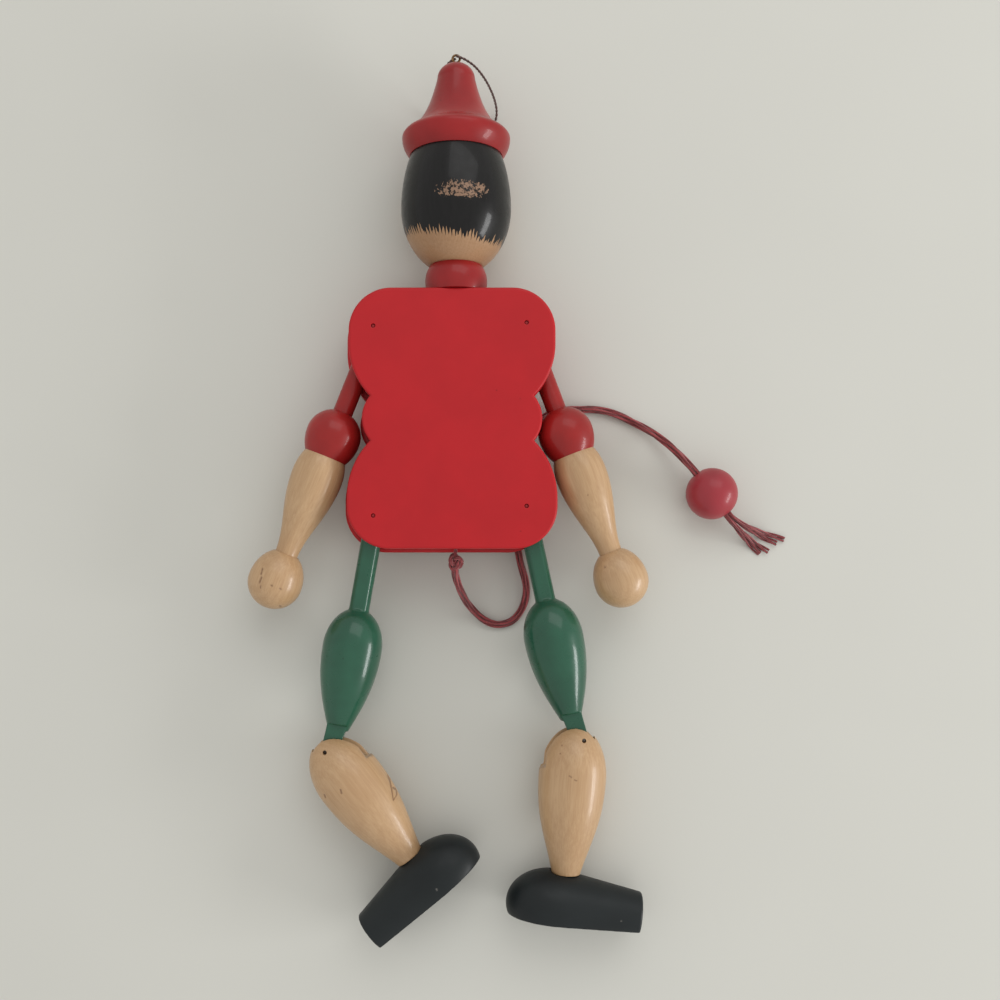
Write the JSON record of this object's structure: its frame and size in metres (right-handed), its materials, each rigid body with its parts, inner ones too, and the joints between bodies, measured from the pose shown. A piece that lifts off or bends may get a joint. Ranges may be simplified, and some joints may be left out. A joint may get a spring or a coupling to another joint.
{
  "type": "pull string jumping jack",
  "caption": "Turned wooden jumping jack figure with painted boards, swinging arms and legs, loose knees and a red pull cord with a bead.",
  "frame": {"origin": "on the back board's outer face, midway between the pivot nails", "axes": "+Z out of the back board, upward as the toy lies on its face; +Y toward the head; +X to the right of the back view"},
  "size_m": [0.2096, 0.34, 0.0426],
  "materials": {
    "red_paint": "gloss paint",
    "crimson_paint": "gloss paint",
    "green_paint": "gloss paint",
    "slate_paint": "gloss paint",
    "varnished_wood": "varnish",
    "plain_wood": "bare",
    "nail_steel": "dull",
    "eye_brass": "worn",
    "red_cord": "twisted",
    "dark_thread": "twisted"
  },
  "bodies": {
    "torso": {"back_board": "red_paint", "front_board": "red_paint", "neck_block": "plain_wood", "waist_blocks": "plain_wood", "arm_pivot_pins": "nail_steel", "hip_pivot_pins": "nail_steel", "neck_dowel": "plain_wood", "collar": "crimson_paint", "head": "varnished_wood", "hat": "crimson_paint", "screw_eye": "eye_brass", "hanging_thread": "dark_thread"},
    "pull_strings": {"left_arm_string": "red_cord", "right_arm_string": "red_cord", "left_leg_string": "red_cord", "right_leg_string": "red_cord", "centre_string": "red_cord", "string_ties": "red_cord", "exit_knot": "red_cord", "pull_cord": "red_cord"},
    "bead": {"pull_bead": "crimson_paint", "cord_tail": "red_cord"},
    "left_arm": {"left_sleeve": "red_paint", "left_arm_dowel": "plain_wood", "left_forearm": "varnished_wood"},
    "left_upper_leg": {"left_thigh": "green_paint"},
    "left_lower_leg": {"left_shin": "varnished_wood", "left_knee_pin": "nail_steel", "left_ankle_dowel": "plain_wood", "left_shoe": "slate_paint"},
    "right_arm": {"right_sleeve": "red_paint", "right_arm_dowel": "plain_wood", "right_forearm": "varnished_wood"},
    "right_upper_leg": {"right_thigh": "green_paint"},
    "right_lower_leg": {"right_shin": "varnished_wood", "right_knee_pin": "nail_steel", "right_ankle_dowel": "plain_wood", "right_shoe": "slate_paint"}
  },
  "joints": [
    {"name": "string_draw", "type": "slide", "parent": "torso", "child": "pull_strings", "axis": [0, -1, 0], "range_m": [0, 0.01551], "deforming": ["left_arm_string", "left_leg_string", "right_arm_string", "right_leg_string"]},
    {"name": "bead_pull", "type": "slide", "parent": "pull_strings", "child": "bead", "axis": [0.8336, -0.5524, 0], "range_m": [0, 0.09], "deforming": ["pull_cord"]},
    {"name": "left_shoulder", "type": "hinge", "parent": "torso", "child": "left_arm", "pos_m": [-0.0287, 0.0345, -0.0103], "axis": [0, 0, -1], "range_deg": [0, 60.01]},
    {"name": "left_hip", "type": "hinge", "parent": "torso", "child": "left_upper_leg", "pos_m": [-0.0287, -0.0365, -0.0103], "axis": [0, 0, -1], "range_deg": [0, 36.01]},
    {"name": "left_knee", "type": "hinge", "parent": "left_upper_leg", "child": "left_lower_leg", "pos_m": [-0.04703, -0.12547, -0.0103], "axis": [0, 0, 1], "range_deg": [-48, 10]},
    {"name": "right_shoulder", "type": "hinge", "parent": "torso", "child": "right_arm", "pos_m": [0.0287, 0.0357, -0.0103], "axis": [0, 0, 1], "range_deg": [0, 60.01]},
    {"name": "right_hip", "type": "hinge", "parent": "torso", "child": "right_upper_leg", "pos_m": [0.0287, -0.0329, -0.0103], "axis": [0, 0, 1], "range_deg": [0, 36.01]},
    {"name": "right_knee", "type": "hinge", "parent": "right_upper_leg", "child": "right_lower_leg", "pos_m": [0.05043, -0.1211, -0.0103], "axis": [0, 0, -1], "range_deg": [-16.1, 5.9]}
  ],
  "couplings": [
    {"joint": "string_draw", "follows": "bead_pull", "ratio": 0.17222},
    {"joint": "left_shoulder", "follows": "bead_pull", "rad_per_m": 11.636},
    {"joint": "left_hip", "follows": "bead_pull", "rad_per_m": 6.9813},
    {"joint": "right_shoulder", "follows": "bead_pull", "rad_per_m": 11.636},
    {"joint": "right_hip", "follows": "bead_pull", "rad_per_m": 6.9813}
  ]
}
